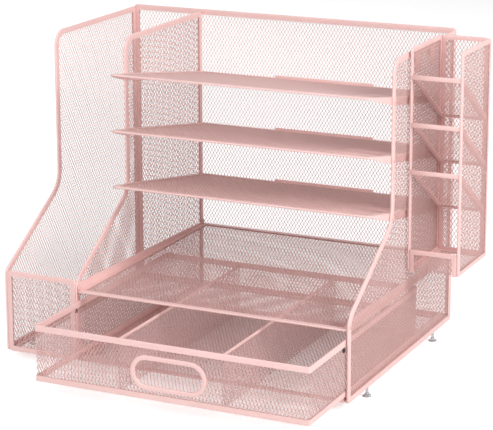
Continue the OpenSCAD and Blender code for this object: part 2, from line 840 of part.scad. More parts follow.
module lower_pen_shelf_rim() { pen_shelf_rim(pen_lips[0]); }
module lower_pen_shelf_mesh() { pen_shelf_mesh(pen_lips[0]); }
module middle_pen_shelf_rim() { pen_shelf_rim(pen_lips[1]); }
module middle_pen_shelf_mesh() { pen_shelf_mesh(pen_lips[1]); }
module upper_pen_shelf_rim() { pen_shelf_rim(pen_lips[2]); }
module upper_pen_shelf_mesh() { pen_shelf_mesh(pen_lips[2]); }

// straps from the pen holder's inner wall over the right panel's top strip
module hook() {
    hook_z = panel_h + hook_gap;
    inside_x = bay_right - hook_gap;
    translate([0, hook_w, 0]) rotate([90, 0, 0]) linear_extrude(hook_w) polygon([
        [pen_x, hook_z + flange_t], [inside_x - flange_t, hook_z + flange_t],
        [inside_x - flange_t, hook_z - hook_drop], [inside_x, hook_z - hook_drop],
        [inside_x, hook_z], [pen_x - flange_t, hook_z],
        [pen_x - flange_t, hook_z - hook_back_l], [pen_x, hook_z - hook_back_l]]);
}

module pen_hooks() {
    color(rim_pink) placed()
        for (y = [pen_y + hook_inset, pen_y + pen_d - hook_inset - hook_w])
            translate([0, y, 0]) hook();
}

// ---- nodes ----

file_side_rim();
file_side_mesh();
left_panel_rim();
left_panel_mesh();
right_panel_rim();
right_panel_mesh();
back_rim();
back_mesh();
file_front_rim();
file_front_mesh();
file_floor_rim();
file_floor_mesh();
base_rim();
base_mesh();
drawer_runners();
deck_rim();
deck_mesh();
lower_shelf_rim();
lower_shelf_mesh();
middle_shelf_rim();
middle_shelf_mesh();
upper_shelf_rim();
upper_shelf_mesh();
panel_screws();
feet();
drawer_top_rim();
drawer_bottom_rim();
drawer_front_mesh();
drawer_back_mesh();
drawer_left_mesh();
drawer_right_mesh();
drawer_floor_mesh();
finger_ring();
left_divider_edge();
left_divider_mesh();
right_divider_edge();
right_divider_mesh();
drawer_glides();
pen_inner_rim();
pen_inner_mesh();
pen_outer_rim();
pen_outer_mesh();
pen_back_rim();
pen_back_mesh();
pen_basket_rim();
pen_floor_rim();
pen_basket_mesh();
upper_pen_shelf_rim();
upper_pen_shelf_mesh();
middle_pen_shelf_rim();
middle_pen_shelf_mesh();
lower_pen_shelf_rim();
lower_pen_shelf_mesh();
pen_hooks();
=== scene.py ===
import json
import math

import bmesh
import bpy
from mathutils import Euler, Matrix, Vector

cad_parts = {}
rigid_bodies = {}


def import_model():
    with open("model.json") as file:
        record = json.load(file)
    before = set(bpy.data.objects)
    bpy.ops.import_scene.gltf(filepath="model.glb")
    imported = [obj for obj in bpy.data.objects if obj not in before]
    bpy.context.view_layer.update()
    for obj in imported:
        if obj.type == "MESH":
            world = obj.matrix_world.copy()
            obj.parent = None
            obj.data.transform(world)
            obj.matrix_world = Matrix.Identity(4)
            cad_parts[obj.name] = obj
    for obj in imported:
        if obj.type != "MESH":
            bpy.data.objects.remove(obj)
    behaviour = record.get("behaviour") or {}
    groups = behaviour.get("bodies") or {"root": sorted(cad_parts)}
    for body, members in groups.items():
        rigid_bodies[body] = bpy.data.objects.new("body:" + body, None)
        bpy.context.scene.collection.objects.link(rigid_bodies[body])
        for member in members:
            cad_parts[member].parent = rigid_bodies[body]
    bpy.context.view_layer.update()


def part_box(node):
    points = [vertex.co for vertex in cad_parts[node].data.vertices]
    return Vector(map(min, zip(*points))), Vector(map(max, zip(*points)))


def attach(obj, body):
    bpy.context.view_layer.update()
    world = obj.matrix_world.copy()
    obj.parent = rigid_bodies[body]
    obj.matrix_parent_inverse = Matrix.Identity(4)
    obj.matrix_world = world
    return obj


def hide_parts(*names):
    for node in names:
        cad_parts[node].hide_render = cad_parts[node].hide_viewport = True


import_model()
print("frame loaded")

# Pieces are sized and placed in millimetres, from the front bottom corner of the left panel,
# in the middle of its thickness. Camera, table and lamps are placed and sized in metres.
# Angles in the dictionaries are in degrees.
strip = {"wide": 6.5, "thick": 2.4, "corner": 4.0, "fold": 1.0, "seamWide": 0.7, "seamDeep": 3.0}
half = strip["thick"] / 2
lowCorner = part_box("left_panel_rim")[0]
datum = Vector((lowCorner.x + half / 1000, lowCorner.y, lowCorner.z))
quarter = math.radians(90)
standAcross = (quarter, 0, 0)          # flat work stood up facing the front
standAlong = (quarter, 0, quarter)     # flat work stood up facing the right

# the camera, solved from the straight edges in the photo
camera = {"place": (0.9312, -1.9428, 0.7528), "tip": 76.419, "roll": -0.18, "yaw": 25.365,
          "lens": 148.55, "sensor": 36, "shift": -0.1217, "seesTo": 100}
bpy.ops.object.camera_add(location=camera["place"])
cameraObject = bpy.context.active_object
tipped = Euler((math.radians(camera["tip"]), 0, math.radians(camera["yaw"]))).to_matrix()
cameraObject.rotation_euler = (
    tipped @ Matrix.Rotation(math.radians(camera["roll"]), 3, "Z")).to_euler()
cameraObject.data.lens = camera["lens"]
cameraObject.data.sensor_width = camera["sensor"]
cameraObject.data.shift_y = camera["shift"]
cameraObject.data.clip_end = camera["seesTo"]
bpy.context.scene.camera = cameraObject


def toLinear(hexColour):
    parts = [int(hexColour[i:i + 2], 16) / 255 for i in (1, 3, 5)]
    return [p / 12.92 if p <= 0.04045 else ((p + 0.055) / 1.055) ** 2.4 for p in parts] + [1]


def addNode(tree, kind, values=None, links=None, **settings):
    node = tree.nodes.new(kind)
    for name, value in settings.items():
        setattr(node, name, value)
    for socket, value in (values or {}).items():
        node.inputs[socket].default_value = value
    for socket, source in (links or {}).items():
        tree.links.new(source, node.inputs[socket])
    return node


def newMaterial(name):
    material = bpy.data.materials.new(name)
    material.use_nodes = True
    return material, material.node_tree, material.node_tree.nodes["Principled BSDF"]


def noise(tree, apart, detail=2):
    # cloudy spots about so many millimetres apart
    spots = addNode(tree, "ShaderNodeTexNoise", {"Scale": 1000 / apart, "Detail": detail},
                    {"Vector": addNode(tree, "ShaderNodeTexCoord").outputs["Object"]})
    return spots.outputs["Fac"]


def blend(tree, factor, values):
    colour = addNode(tree, "ShaderNodeMix",
                     {"A": toLinear(values["deep"]), "B": toLinear(values["pale"])},
                     {"Factor": factor}, data_type="RGBA")
    return colour.outputs["Result"]


def mapped(tree, factor, low, high):
    level = addNode(tree, "ShaderNodeMapRange", {"To Min": low, "To Max": high},
                    {"Value": factor})
    return level.outputs["Result"]


def bumped(tree, height, strength, deep):
    bump = addNode(tree, "ShaderNodeBump", {"Strength": strength, "Distance": deep / 1000},
                   {"Height": height})
    return bump.outputs["Normal"]


# orange peel is about 0.8 mm from crest to crest; here 1.0 to 1.2 mm, so that it shows at all
powder = {"cloudDetail": 3, "roughSpread": 0.05, "peelDeep": 0.1, "ior": 1.5, "coatRough": 0.3}
stripFinish = {"deep": "#f0c5c1", "pale": "#f6d2ce", "cloudMm": 30, "peelMm": 1.2,
               "rough": 0.42, "bump": 0.35, "coat": 0.25}
# the lattice is the same pink powder as the strips; its colour is painted darker, as painted
# shade on the strands
latticeShadedFinish = {"deep": "#dcb3af", "pale": "#e5bfbb", "cloudMm": 18, "peelMm": 1.2,
                 "rough": 0.45, "bump": 0.2, "coat": 0.2}
screwFinish = {"deep": "#ebbfbb", "pale": "#f1cac6", "cloudMm": 6, "peelMm": 1.0,
               "rough": 0.38, "bump": 0.2, "coat": 0.3}


def powderCoat(name, finish):
    # baked polyester powder: an even satin skin with a faint orange peel and soft, wide
    # highlights, a little thicker and paler in some places than in others
    material, tree, shader = newMaterial(name)
    cloud = noise(tree, finish["cloudMm"], powder["cloudDetail"])
    peel = noise(tree, finish["peelMm"])
    tree.links.new(blend(tree, cloud, finish), shader.inputs["Base Color"])
    tree.links.new(mapped(tree, peel, finish["rough"] - powder["roughSpread"],
                          finish["rough"] + powder["roughSpread"]), shader.inputs["Roughness"])
    tree.links.new(bumped(tree, peel, finish["bump"], powder["peelDeep"]),
                   shader.inputs["Normal"])
    shader.inputs["IOR"].default_value = powder["ior"]
    shader.inputs["Coat Weight"].default_value = finish["coat"]
    shader.inputs["Coat Roughness"].default_value = powder["coatRough"]
    return material


def clearVinyl():
    # soft clear PVC: see-through with a faint cool tint, a little cloudy where it is thick
    values = {"tint": "#eef4f6", "haze": 0.12, "hazeSpread": 0.12, "hazeMm": 3,
              "clear": 0.85, "ior": 1.53}
    material, tree, shader = newMaterial("clearSoftPvc")
    tree.links.new(mapped(tree, noise(tree, values["hazeMm"]), values["haze"],
                          values["haze"] + values["hazeSpread"]), shader.inputs["Roughness"])
    shader.inputs["Base Color"].default_value = toLinear(values["tint"])
    shader.inputs["Transmission Weight"].default_value = values["clear"]
    shader.inputs["IOR"].default_value = values["ior"]
    return material


def blackNylon():
    # moulded nylon: deep grey-black, dull, with the fine grain of an eroded mould
    values = {"deep": "#1b1b1e", "pale": "#29292d", "grainMm": 0.4, "bump": 0.3,
              "grainDeep": 0.05, "rough": 0.5}
    material, tree, shader = newMaterial("mouldedNylon")
    grain = noise(tree, values["grainMm"])
    tree.links.new(blend(tree, grain, values), shader.inputs["Base Color"])
    tree.links.new(bumped(tree, grain, values["bump"], values["grainDeep"]),
                   shader.inputs["Normal"])
    shader.inputs["Roughness"].default_value = values["rough"]
    return material


stripCoat = powderCoat("powderCoatedStrip", stripFinish)
latticeCoat = powderCoat("powderCoatedExpandedSteel", latticeShadedFinish)
screwCoat = powderCoat("paintedScrewHead", screwFinish)
vinyl, nylon = clearVinyl(), blackNylon()
print("materials made")


# The bench: pieces are shaped flat and then put in place. same is how near two places count as
# one, weld what is merged, oneFace and crease the angles up to which faces are made one or are
# shaded round, and the steps are those of round bends, corners and softened edges.
bench = {"same": 0.02, "weld": 0.01, "oneFace": 1, "crease": 35, "bendSteps": 6,
         "cornerSteps": 5, "softSteps": 3}


def near(a, b):
    return abs(a - b) < bench["same"]


def facesUp(face):
    return face.normal.z > 0.9


def facesDown(face):
    return face.normal.z < -0.9


def isUpright(face):
    return abs(face.normal.z) < 0.5


def isDisc(face):
    return len(face.verts) > 8


def selectAll():
    bpy.ops.mesh.select_all(action="SELECT")


def selectOnly(piece, *others):
    bpy.ops.object.select_all(action="DESELECT")
    for part in (piece, *others):
        part.select_set(True)
    bpy.context.view_layer.objects.active = piece


def pick(piece, kind, test):
    # selects the vertices, edges or faces that pass the test, and nothing else
    bpy.ops.mesh.select_mode(type=kind)
    bpy.ops.mesh.select_all(action="DESELECT")
    work = bmesh.from_edit_mesh(piece.data)
    for item in {"VERT": work.verts, "EDGE": work.edges, "FACE": work.faces}[kind]:
        item.select = bool(test(item))
    work.select_flush_mode()
    bmesh.update_edit_mesh(piece.data)


def startPlane(name, wide, high):
    bpy.ops.object.select_all(action="DESELECT")
    bpy.ops.mesh.primitive_plane_add(size=1)
    piece = bpy.context.active_object
    piece.name = name
    bpy.ops.object.mode_set(mode="EDIT")
    bpy.ops.transform.resize(value=(wide, high, 1), center_override=(0, 0, 0))
    bpy.ops.transform.translate(value=(wide / 2, high / 2, 0))
    return piece


def startDisc(name, radius, corners):
    bpy.ops.object.select_all(action="DESELECT")
    bpy.ops.mesh.primitive_circle_add(vertices=corners, radius=radius, fill_type="NGON")
    piece = bpy.context.active_object
    piece.name = name
    bpy.ops.object.mode_set(mode="EDIT")
    return piece


def cut(x, y, across, clear=True, fill=False):
    # cuts everything along a line through (x, y) and clears the side that across points to
    selectAll()
    bpy.ops.mesh.bisect(plane_co=(x, y, 0), clear_outer=clear, use_fill=fill,
                        plane_no=Vector((across[0], across[1], 0)).normalized())


def clearFaces(piece, test):
    # deletes the faces whose middle, seen from above, passes the test
    pick(piece, "FACE", lambda f: test(f.calc_center_median().xy))
    bpy.ops.mesh.delete(type="FACE")


def makeOneFace():
    selectAll()
    bpy.ops.mesh.dissolve_limited(angle_limit=math.radians(bench["oneFace"]))


def roundCorner(piece, x, y, radius, corner=90, steps=bench["bendSteps"]):
    pick(piece, "VERT", lambda v: near(v.co.x, x) and near(v.co.y, y))
    bpy.ops.mesh.bevel(offset=radius / math.tan(math.radians(corner / 2)), segments=steps,
                       affect="VERTICES")


def roundUprights(piece, corners, radius, steps):
    # rounds the upright edges that stand on these corners of the outline
    pick(piece, "EDGE", lambda e: any(all(near(v.co.x, x) and near(v.co.y, y)
                                          for v in e.verts) for x, y in corners))
    bpy.ops.mesh.bevel(offset=radius, segments=steps)


def pull(x, y, z):
    # draws what is selected out by one more step
    bpy.ops.mesh.extrude_region_move(TRANSFORM_OT_translate={"value": (x, y, z)})


def thicken(thick):
    selectAll()
    pull(0, 0, thick)
    selectAll()
    bpy.ops.mesh.normals_make_consistent(inside=False)


def roundEdges(piece, radius, steps=2, angle=30):
    # softens every edge, as the coat does
    bpy.ops.object.mode_set(mode="OBJECT")
    bpy.ops.object.modifier_add(type="BEVEL")
    soft = piece.modifiers[-1]
    soft.width, soft.segments, soft.angle_limit = radius, steps, math.radians(angle)
    bpy.ops.object.modifier_apply(modifier=soft.name)


def inGroup(piece):
    # tells whether a vertex belongs to the inner edge of the strip
    layer = bmesh.from_edit_mesh(piece.data).verts.layers.deform.verify()
    return lambda v: len(v[layer]) > 0


def foldStrip(piece, corners, values):
    # one flat face becomes a strip folded over its edge, with the seam that takes the sheet
    selectAll()
    bpy.ops.mesh.inset(thickness=values["wide"], use_even_offset=True)
    bpy.ops.object.vertex_group_assign_new()
    bpy.ops.mesh.delete(type="FACE")
    thicken(values["thick"])
    if corners:
        roundUprights(piece, corners, values["corner"], bench["cornerSteps"])
    # the fold itself is round
    inner = inGroup(piece)
    pick(piece, "EDGE", lambda e: not any(inner(v) for v in e.verts)
         and any(isUpright(f) for f in e.link_faces)
         and not all(isUpright(f) for f in e.link_faces))
    bpy.ops.mesh.bevel(offset=values["fold"], segments=bench["softSteps"])
    # the two leaves end side by side, with the sheet between them; the bevel has renewed the
    # mesh, so the inner edge is looked up again
    inner = inGroup(piece)
    pick(piece, "FACE", lambda f: isUpright(f) and all(inner(v) for v in f.verts))
    bpy.ops.mesh.inset(thickness=(values["thick"] - values["seamWide"]) / 2)
    bpy.ops.mesh.extrude_region_shrink_fatten(
        TRANSFORM_OT_shrink_fatten={"value": -values["seamDeep"], "use_even_offset": True})
    bpy.ops.object.mode_set(mode="OBJECT")
    piece.vertex_groups.clear()
    bpy.ops.object.mode_set(mode="EDIT")


def stripFrame(name, wide, high, values=strip):
    piece = startPlane(name, wide, high)
    foldStrip(piece, [(0, 0), (wide, 0), (wide, high), (0, high)], values)
    return piece


def place(piece, x, y, z, turn=(0, 0, 0)):
    # from the bench to its place on the organizer, in metres
    bpy.ops.object.mode_set(mode="OBJECT")
    selectOnly(piece)
    piece.scale = (0.001, 0.001, 0.001)
    piece.rotation_euler = turn
    piece.location = datum + Vector((x, y, z)) / 1000
    bpy.ops.object.transform_apply(location=True, rotation=True, scale=True)


def fromBench(low, turn, x, y, z):
    # where a point of the bench comes to lie when the bench's corner is put at low
    return Vector(low) + Euler(turn).to_matrix() @ Vector((x, y, z))


def another(piece, name):
    selectOnly(piece)
    bpy.ops.object.duplicate()
    copied = bpy.context.active_object
    copied.name = name
    return copied


def shift(piece, x, y, z):
    # moves a finished copy on, in millimetres
    piece.location = Vector((x, y, z)) / 1000
    selectOnly(piece)
    bpy.ops.object.transform_apply(location=True)
    return piece


def joinInto(piece, *others):
    selectOnly(piece, *others)
    bpy.ops.object.join()
    return piece


def spread(piece, spots, turn=(0, 0, 0)):
    # puts the piece at the first spot and copies at the others, all joined into one
    place(piece, *spots[0], turn)
    copies = [shift(another(piece, piece.name + "_copy"),
                    *(there - here for here, there in zip(spots[0], spot)))
              for spot in spots[1:]]
    return joinInto(piece, *copies)


def finishPiece(piece, body, node, material, smooth=False):
    selectOnly(piece)
    piece.data.materials.clear()
    piece.data.materials.append(material)
    if smooth:
        bpy.ops.object.shade_smooth()
    else:
        bpy.ops.object.shade_smooth_by_angle(angle=math.radians(bench["crease"]))
    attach(piece, body)
    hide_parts(node)


def stripPiece(piece, body, node):
    finishPiece(piece, body, node, stripCoat)


def latticePiece(piece, body, node):
    finishPiece(piece, body, node, latticeCoat, smooth=True)


def finishPair(name, body):
    stripPiece(bpy.data.objects[name + "_strip"], body, name + "_rim")
    latticePiece(bpy.data.objects[name + "_lattice"], body, name + "_mesh")


def copyPair(name, newName, x, y, z):
    for ending in ("_strip", "_lattice"):
        shift(another(bpy.data.objects[name + ending], newName + ending), x, y, z)


# Expanded steel: diamonds from bond to bond, long way up, with ridged strands between them.
# hidden is how far inside the outline a sheet ends, where the strip covers it.
lattice = {"short": 4.2, "long": 7.2, "strand": 0.64, "thick": 0.6, "hidden": 1.5}


def latticeField(name, wide, high):
    # a field of diamonds that covers wide by high; each strand is ridged on both faces
    halfShort, halfLong = lattice["short"] / 2, lattice["long"] / 2
    piece = startDisc(name, 1, 4)
    bpy.ops.transform.resize(value=(halfShort, halfLong, 1), center_override=(0, 0, 0))
    bpy.ops.mesh.inset(thickness=lattice["strand"] / 2, use_even_offset=True)
    bpy.ops.mesh.delete(type="FACE")
    pick(piece, "VERT", lambda v: near(abs(v.co.x) / halfShort + abs(v.co.y) / halfLong, 1))
    bpy.ops.transform.translate(value=(0, 0, lattice["thick"] / 2))
    selectAll()
    bpy.ops.mesh.duplicate()
    bpy.ops.transform.resize(value=(1, 1, -1), center_override=(0, 0, 0))
    bpy.ops.mesh.flip_normals()
    selectAll()
    bpy.ops.mesh.duplicate_move(TRANSFORM_OT_translate={"value": (halfShort, halfLong, 0)})
    bpy.ops.object.mode_set(mode="OBJECT")
    for step, length, offset in ((lattice["short"], wide, (1, 0, 0)),
                                 (lattice["long"], high, (0, 1, 0))):
        bpy.ops.object.modifier_add(type="ARRAY")
        rows = piece.modifiers[-1]
        rows.use_relative_offset = False
        rows.use_constant_offset = True
        rows.constant_offset_displace = [step * part for part in offset]
        rows.count = math.ceil(length / step) + 1
        bpy.ops.object.modifier_apply(modifier=rows.name)
    bpy.ops.object.mode_set(mode="EDIT")
    selectAll()
    bpy.ops.mesh.remove_doubles(threshold=bench["weld"])
    return piece


def latticeSheet(name, wide, high, edge=lattice["hidden"]):
    piece = latticeField(name, wide, high)
    for x, y, across in ((edge, 0, (-1, 0)), (wide - edge, 0, (1, 0)),
                         (0, edge, (0, -1)), (0, high - edge, (0, 1))):
        cut(x, y, across)
    return piece


def framePair(name, wide, high, low, turn=(0, 0, 0), values=strip):
    # a flat strip frame with its low corner at low, and the sheet in the middle of it
    place(stripFrame(name + "_strip", wide, high, values), *low, turn)
    place(latticeSheet(name + "_lattice", wide, high), *fromBench(low, turn, 0, 0, half), turn)


# Side panels. At the round bends the lattice is cut off inside the strip: at bendShare of the
# upper bend's radius from its centre, and footIn inside the arc of the lowest bend.
panel = {"deep": 309, "high": 342, "frontHigh": 93, "slopeDeep": 118, "slopeHigh": 166,
         "bend": 18, "slopeBend": 27, "foot": 22, "fileFoot": 9, "bendShare": 0.7, "footIn": 3,
         "places": {"file_side": -89, "left_panel": 0, "right_panel": 320}}
slope = math.atan2(panel["slopeHigh"] - panel["frontHigh"], panel["slopeDeep"])
slopeAcross = (-math.sin(slope), math.cos(slope))
slopeCorner = 90 + math.degrees(slope)


def aboveSlope(x, y):
    return x < panel["slopeDeep"] and y > panel["frontHigh"] + x * math.tan(slope)


def panelStrip(name, foot):
    piece = startPlane(name, panel["deep"], panel["high"])
    cut(0, panel["frontHigh"], slopeAcross, clear=False)
    cut(panel["slopeDeep"], 0, (1, 0), clear=False)
    clearFaces(piece, lambda middle: aboveSlope(*middle))
    makeOneFace()
    roundCorner(piece, panel["slopeDeep"], panel["high"], panel["bend"])
    roundCorner(piece, panel["slopeDeep"], panel["slopeHigh"], panel["slopeBend"], slopeCorner)
    roundCorner(piece, 0, panel["frontHigh"], foot, slopeCorner)
    foldStrip(piece, [(0, 0), (panel["deep"], 0), (panel["deep"], panel["high"])], strip)
    return piece


def panelLattice(name, foot):
    edge, bend = lattice["hidden"], panel["bend"]
    piece = latticeSheet(name, panel["deep"], panel["high"])
    low = Vector((edge * math.sin(slope), panel["frontHigh"] - edge * math.cos(slope)))
    cut(*low, slopeAcross, clear=False)
    cut(panel["slopeDeep"] + edge, 0, (1, 0), clear=False)
    clearFaces(piece, lambda middle: middle.x < panel["slopeDeep"] + edge
               and (middle - low).dot(slopeAcross) > 0)
    reach = panel["bendShare"] * bend / math.sqrt(2)
    cut(panel["slopeDeep"] + bend - reach, panel["high"] - bend + reach, (-1, 1))
    halfCorner = math.radians(slopeCorner / 2)
    away = Vector((-math.sin(halfCorner), math.cos(halfCorner)))
    centre = Vector((0, panel["frontHigh"])) - away * foot / math.sin(halfCorner)
    corner = centre + away * (foot - panel["footIn"])
    cut(*corner, away, clear=False)
    clearFaces(piece, lambda middle: middle.x < bend and (middle - corner).dot(away) > 0)
    return piece


for name, bendFoot in (("file_side", panel["fileFoot"]), ("left_panel", panel["foot"])):
    x = panel["places"][name]
    place(panelStrip(name + "_strip", bendFoot), x - half, 0, 0, standAlong)
    place(panelLattice(name + "_lattice", bendFoot), x, 0, 0, standAlong)
copyPair("left_panel", "right_panel", panel["places"]["right_panel"], 0, 0)
for name in panel["places"]:
    finishPair(name, "cabinet")
print("side panels made")


# flat frames of the cabinet
bay = {"wide": 320, "fileWide": 89, "backAbove": 2, "fileStripWide": 6, "baseUp": 1}
fileInside, bayInside = bay["fileWide"] - 2 * half, bay["wide"] - 2 * half
fileStrip = {**strip, "wide": bay["fileStripWide"]}
# name: wide, high, place of the low corner, how it is turned, strip
frames = {
    "back": (bay["fileWide"] + bay["wide"] + 2 * half, panel["high"] + bay["backAbove"],
             (-bay["fileWide"] - half, panel["deep"] + 2 * half, 0), standAcross, strip),
    "file_front": (fileInside, panel["frontHigh"], (-bay["fileWide"] + half, 2 * half, 0),
                   standAcross, fileStrip),
    "file_floor": (fileInside, panel["deep"] - 2 * half,
                   (-bay["fileWide"] + half, 2 * half, bay["baseUp"]), (0, 0, 0), strip),
    "base": (bayInside, panel["deep"], (half, 0, bay["baseUp"]), (0, 0, 0), strip)}
for name, values in frames.items():
    framePair(name, *values)
    finishPair(name, "cabinet")
print("back, file holder and base made")


# Plates are stamped and softened by the coat; bars and channels are bent and rounder.
formed = {"soft": 0.3, "bentSoft": 0.5, "bentSteps": 3}


def plate(name, wide, high, thick, cuts=()):
    # cuts are (x, y, (across)) lines that trim the flat plate
    piece = startPlane(name, wide, high)
    for x, y, across in cuts:
        cut(x, y, across)
    thicken(thick)
    roundEdges(piece, formed["soft"])
    return piece


# deck over the drawer, with a flange along each side
deck = {"up": 78.4, "flangeFront": 9, "flangeBack": 2, "flangeLow": 4, "flangeThick": 1.2,
        "flangeStart": 4}
framePair("deck", bayInside, panel["deep"], (half, 0, deck["up"]))
flangeLong = panel["deep"] - deck["flangeStart"]
flangeHigh = deck["flangeLow"] + strip["thick"] + deck["flangeFront"]
fall = (deck["flangeFront"] - deck["flangeBack"]) / flangeLong
flanges = spread(
    plate("deck_flanges", flangeLong, flangeHigh, deck["flangeThick"],
          [(0, flangeHigh, (fall, 1))]),
    [(x, deck["flangeStart"], deck["up"] - deck["flangeLow"])
     for x in (half, bay["wide"] - half - deck["flangeThick"])], standAlong)
joinInto(bpy.data.objects["deck_strip"], flanges)
finishPair("deck", "cabinet")
print("deck made")


# Letter shelves that lean back. Their front ends taper and are rounded; cornerUp is where the
# lattice is cut off inside the round corner, and flangeOver how far a flange reaches up into
# the strip.
shelf = {"names": ("lower_shelf", "middle_shelf", "upper_shelf"), "top": 309, "pitch": 63,
         "fall": 40, "reach": 47, "taper": 4.5, "frontCorner": 8, "cornerUp": 3.6,
         "flangeHigh": 6, "flangeStart": 1, "flangeOver": 0.6, "flangeThick": 1.2,
         "tongueWide": 125, "tongueHigh": 2.5, "backGap": 0.3}
shelfFront = panel["slopeDeep"] - shelf["reach"]
shelfRun = panel["deep"] - shelfFront
shelfTilt = math.asin(shelf["fall"] / math.hypot(shelfRun, shelf["fall"]))
shelfLong = (shelfRun - shelf["backGap"] - strip["thick"] * math.sin(shelfTilt)) / math.cos(
    shelfTilt)
fullFrom = shelf["reach"] / math.cos(shelfTilt)


def leanBack(tilt):
    # how flat work is turned to lean back, and how upright plates are turned along with it
    lean = (-tilt, 0, 0)
    return lean, (Euler(lean).to_matrix() @ Euler(standAlong).to_matrix()).to_euler()


def shelfStrip(name):
    piece = startPlane(name, bayInside, shelfLong)
    for x, side in ((shelf["taper"], -1), (bayInside - shelf["taper"], 1)):
        cut(x, 0, (side * fullFrom, -shelf["taper"]), clear=False)
    clearFaces(piece, lambda middle: middle.y < fullFrom / 2
               and min(middle.x, bayInside - middle.x) < shelf["taper"] / 2)
    makeOneFace()
    corner = 90 + math.degrees(math.atan2(shelf["taper"], fullFrom))
    for x in (shelf["taper"], bayInside - shelf["taper"]):
        roundCorner(piece, x, 0, shelf["frontCorner"], corner)
    foldStrip(piece, [], strip)
    return piece


def shelfLattice(name):
    piece = latticeSheet(name, bayInside, shelfLong)
    for x, side in ((0, -1), (bayInside, 1)):
        sideLine = Vector((x - side * (shelf["taper"] + lattice["hidden"]), 0))
        sideAcross = (side * fullFrom, -shelf["taper"])
        cornerLine = Vector((x - side * (shelf["taper"] + shelf["frontCorner"]),
                             shelf["cornerUp"]))
        cut(*sideLine, sideAcross, clear=False)
        cut(*cornerLine, (side, -1), clear=False)
        clearFaces(piece, lambda middle: middle.y < fullFrom and (
            (middle - sideLine).dot(sideAcross) > 0
            or (middle - cornerLine).dot((side, -1)) > 0))
    return piece


def shelfFlange(name, side):
    # a plate below the shelf's side: full height along the panel, lower towards its front
    start = shelf["frontCorner"]
    piece = startPlane(name, shelfLong, shelf["flangeHigh"] + shelf["flangeOver"])
    cut(start, 0, (-1, 0))
    cut(fullFrom, 0, (1, 0), clear=False)
    pick(piece, "VERT", lambda v: near(v.co.x, start) and near(v.co.y, 0))
    bpy.ops.transform.translate(value=(0, shelf["flangeHigh"] - shelf["flangeStart"], 0))
    thicken(shelf["flangeThick"])
    # its front end follows the taper
    pick(piece, "VERT", lambda v: near(v.co.x, start))
    bpy.ops.transform.translate(value=(0, 0, side * shelf["taper"] * (1 - start / fullFrom)))
    roundEdges(piece, formed["soft"])
    return piece


lean, leanAlong = leanBack(shelfTilt)
lowLevel = shelf["top"] - 2 * shelf["pitch"]
shelfUp = lowLevel - strip["thick"]
place(shelfStrip("lower_shelf_strip"), half, shelfFront, shelfUp, lean)
place(shelfLattice("lower_shelf_lattice"),
      *fromBench((half, shelfFront, shelfUp), lean, 0, 0, half), lean)
parts = []
for side, x in ((1, half), (-1, bay["wide"] - half - shelf["flangeThick"])):
    flange = shelfFlange("shelf_flange", side)
    place(flange, *fromBench((x, shelfFront, shelfUp), lean, 0, 0, -shelf["flangeHigh"]),
          leanAlong)
    parts.append(flange)
# a tongue on its back edge goes through the back panel
tongue = plate("shelf_tongue", shelf["tongueWide"], strip["thick"] + shelf["tongueHigh"],
               shelf["flangeThick"])
place(tongue, (bay["wide"] - shelf["tongueWide"]) / 2, panel["deep"],
      shelfUp - shelf["fall"], standAcross)
joinInto(bpy.data.objects["lower_shelf_strip"], *parts, tongue)
for number, name in enumerate(shelf["names"]):
    if number:
        copyPair("lower_shelf", name, 0, 0, number * shelf["pitch"])
for name in shelf["names"]:
    finishPair(name, "cabinet")
print("letter shelves made")


# drawer, as far open as in the photo; sheetIn is how far in the dividers' sheets end
drawer = {"high": 62, "deep": 300, "open": 92, "sideGap": 0.9, "runnerHigh": 4,
          "runnerGap": 0.2, "corner": 2, "sideCompartment": 98, "dividerDrop": 2,
          "sheetIn": 0.6, "floorUp": 0.9, "cornerSteps": 4}
drawerLeft = half + drawer["sideGap"]
drawerWide = bay["wide"] - 2 * drawerLeft
drawerUp = bay["baseUp"] + strip["thick"] + drawer["runnerHigh"] + drawer["runnerGap"]


def inDrawer(x, y, z):
    return Vector((drawerLeft + x, -drawer["open"] + y, drawerUp + z))


def wallStrip(name, up):
    # a strip folded over the walls' edge all round: the fold is on top, or below for the foot
    piece = startPlane(name, drawerWide, drawer["deep"])
    selectAll()
    bpy.ops.mesh.inset(thickness=strip["thick"], use_even_offset=True)
    bpy.ops.mesh.delete(type="FACE")
    thicken(strip["wide"])
    roundUprights(piece, [(x, y) for x in (0, drawerWide) for y in (0, drawer["deep"])],
                  drawer["corner"], drawer["cornerSteps"])
    foldZ, seamZ = (strip["wide"], 0) if up else (0, strip["wide"])
    pick(piece, "EDGE", lambda e: all(near(v.co.z, foldZ) for v in e.verts)
         and any(isUpright(f) for f in e.link_faces))
    bpy.ops.mesh.bevel(offset=strip["fold"], segments=bench["softSteps"])
    pick(piece, "FACE", lambda f: (facesUp(f) or facesDown(f))
         and near(f.calc_center_median().z, seamZ))
    bpy.ops.mesh.inset(thickness=(strip["thick"] - strip["seamWide"]) / 2)
    pull(0, 0, strip["seamDeep"] * (1 if up else -1))
    return piece


place(wallStrip("drawer_top_strip", True), *inDrawer(0, 0, drawer["high"] - strip["wide"]))
place(wallStrip("drawer_bottom_strip", False), *inDrawer(0, 0, 0))
for name in ("top", "bottom"):
    stripPiece(bpy.data.objects["drawer_" + name + "_strip"], "drawer",
               "drawer_" + name + "_rim")

# Ring round the finger hole. The front sheet ends sheetIn inside the middle of its band, and
# bendShort keeps its bends from meeting.
ring = {"wide": 88, "high": 38, "band": 5.3, "thick": 3.2, "up": 29, "sheetIn": 0.4,
        "bead": 1.3, "beadSteps": 4, "bendSteps": 14, "bendShort": 0.01}


def frontLattice(name):
    piece = latticeSheet(name, drawerWide, drawer["high"], half)
    reach = (ring["wide"] - ring["high"]) / 2
    radius = ring["high"] / 2 - ring["band"] / 2 - ring["sheetIn"]
    centre = Vector((drawerWide / 2, ring["up"]))
    clearFaces(piece, lambda middle: math.hypot(max(0, abs(middle.x - centre.x) - reach),
                                                middle.y - centre.y) < radius)
    return piece


